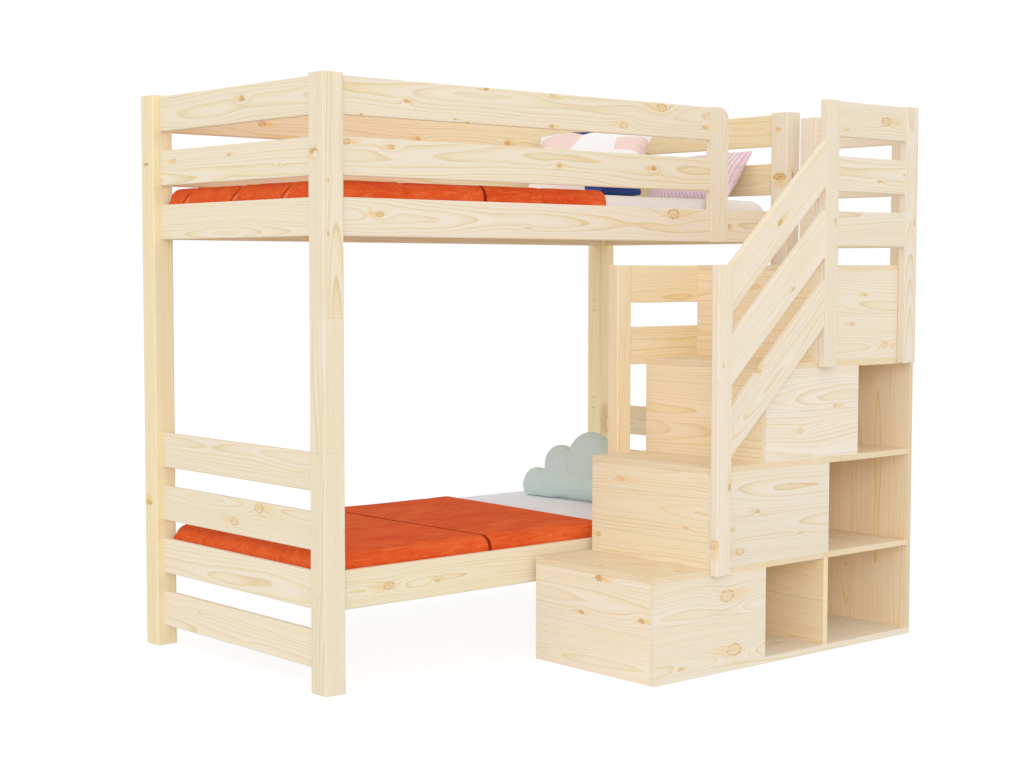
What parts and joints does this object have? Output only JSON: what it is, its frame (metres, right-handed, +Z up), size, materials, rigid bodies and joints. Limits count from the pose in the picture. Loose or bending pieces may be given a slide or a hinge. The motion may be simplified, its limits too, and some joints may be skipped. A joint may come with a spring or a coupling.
{
  "type": "l shaped bunk bed",
  "caption": "Stacked pine single beds with guard rails, and a box staircase with shelves and handrails along the front, so the plan is an L.",
  "frame": {"origin": "on the floor, under the centre of the overall box in plan", "axes": "+X along the beds towards the end with the staircase platform, -Y towards the staircase side (the front), +Z up"},
  "size_m": [1.9824, 1.51, 1.712],
  "materials": {
    "pine": "clear-lacquered knotty pine, satin",
    "pine_inner": "unlacquered pine, matt",
    "cap": "pine-coloured cover caps, satin",
    "steel": "zinc-plated steel",
    "mattress_cover": "white woven cotton",
    "orange_velvet": "orange-red velvet",
    "printed_cotton": "cotton printed with navy, pink and white facets",
    "ribbed_pink": "dusty pink ribbed cloth",
    "sage_knit": "sage-green rib knit"
  },
  "bodies": {
    "root": {"post_front_left_lower": "pine", "post_front_left_upper": "pine", "post_front_right_lower": "pine", "post_front_right_upper": "pine", "post_back_left_lower": "pine", "post_back_left_upper": "pine", "post_back_right_lower": "pine", "post_back_right_upper": "pine", "post_middle_sections": "pine", "post_pins": "steel", "post_lock_screws": "steel", "upper_front_guard_rails": "pine", "upper_front_side_rail": "pine", "upper_back_guard_rails": "pine", "upper_back_side_rail": "pine", "upper_left_end_rails": "pine", "upper_right_end_rails": "pine", "guard_end_board": "pine", "lower_front_side_rail": "pine", "lower_back_side_rail": "pine", "lower_left_end_rails": "pine", "lower_right_end_rails": "pine", "rail_bolts": "steel", "rail_barrel_nuts": "steel", "bolt_caps": "cap", "slat_cleats": "pine_inner", "bed_slats": "pine_inner", "stair_base_board": "pine", "tread_first": "pine", "tread_second": "pine", "tread_third": "pine", "platform_board": "pine", "riser_first": "pine", "riser_second": "pine", "riser_third": "pine", "riser_fourth": "pine", "front_panel_first": "pine", "front_panel_second": "pine", "front_panel_third": "pine", "front_panel_fourth": "pine", "stair_partitions": "pine_inner", "stair_side_panel": "pine", "stair_back_panels": "pine_inner", "front_newel": "pine", "back_newel": "pine", "stair_handrails": "pine", "guard_posts": "pine", "front_guard_rails": "pine", "side_guard_rails": "pine", "back_guard_rails": "pine", "wood_dowels": "pine_inner", "stair_brackets": "steel", "wood_screws": "steel", "upper_mattress": "mattress_cover", "lower_mattress": "mattress_cover", "upper_covers": "orange_velvet", "lower_covers": "orange_velvet", "patterned_pillow": "printed_cotton", "ribbed_pillow": "ribbed_pink", "cloud_cushion": "sage_knit"}
  },
  "joints": []
}
